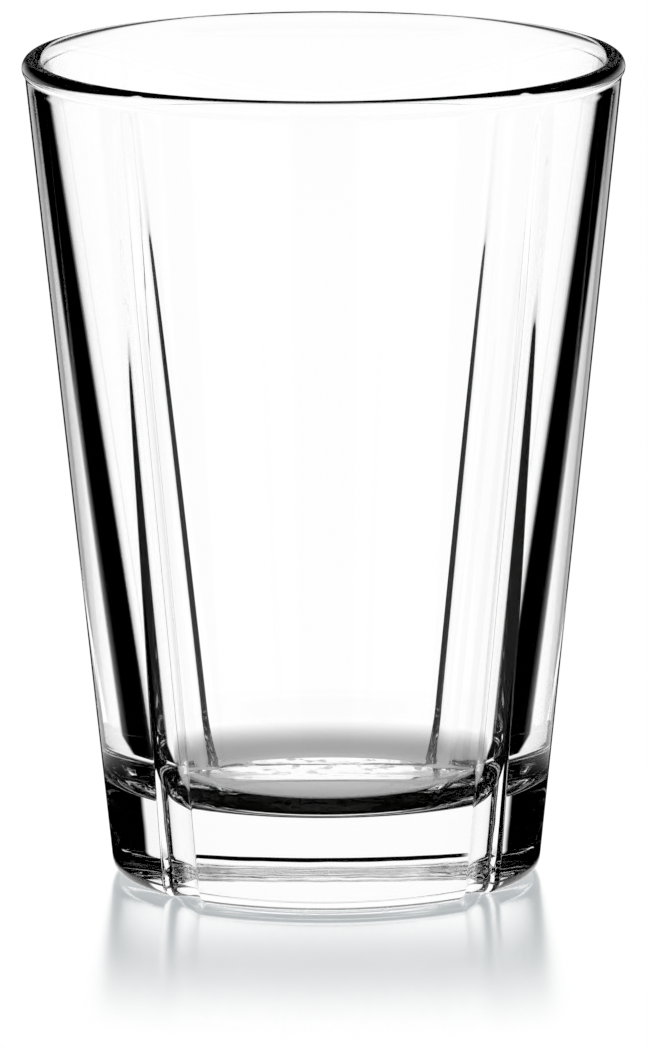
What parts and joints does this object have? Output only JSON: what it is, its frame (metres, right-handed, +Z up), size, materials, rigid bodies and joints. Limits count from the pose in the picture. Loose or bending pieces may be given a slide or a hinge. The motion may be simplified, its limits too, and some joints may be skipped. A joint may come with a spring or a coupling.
{
  "type": "water glass",
  "caption": "Tapered clear-glass tumbler with a rounded lip, a thick base and round flutes that rise from the foot and run out below the rim, for drinking water.",
  "frame": {"origin": "centre of the resting ring under the base, on the table plane", "axes": "+Z up along the axis of the glass, towards the mouth; +Y points from the front panel to the back panel, so the flutes lie at 45 degrees to X and Y"},
  "size_m": [0.0726, 0.0726, 0.1],
  "materials": {
    "clear_glass": "clear fire-polished pressed glass"
  },
  "bodies": {
    "root": {"tumbler": "clear_glass"}
  },
  "joints": []
}
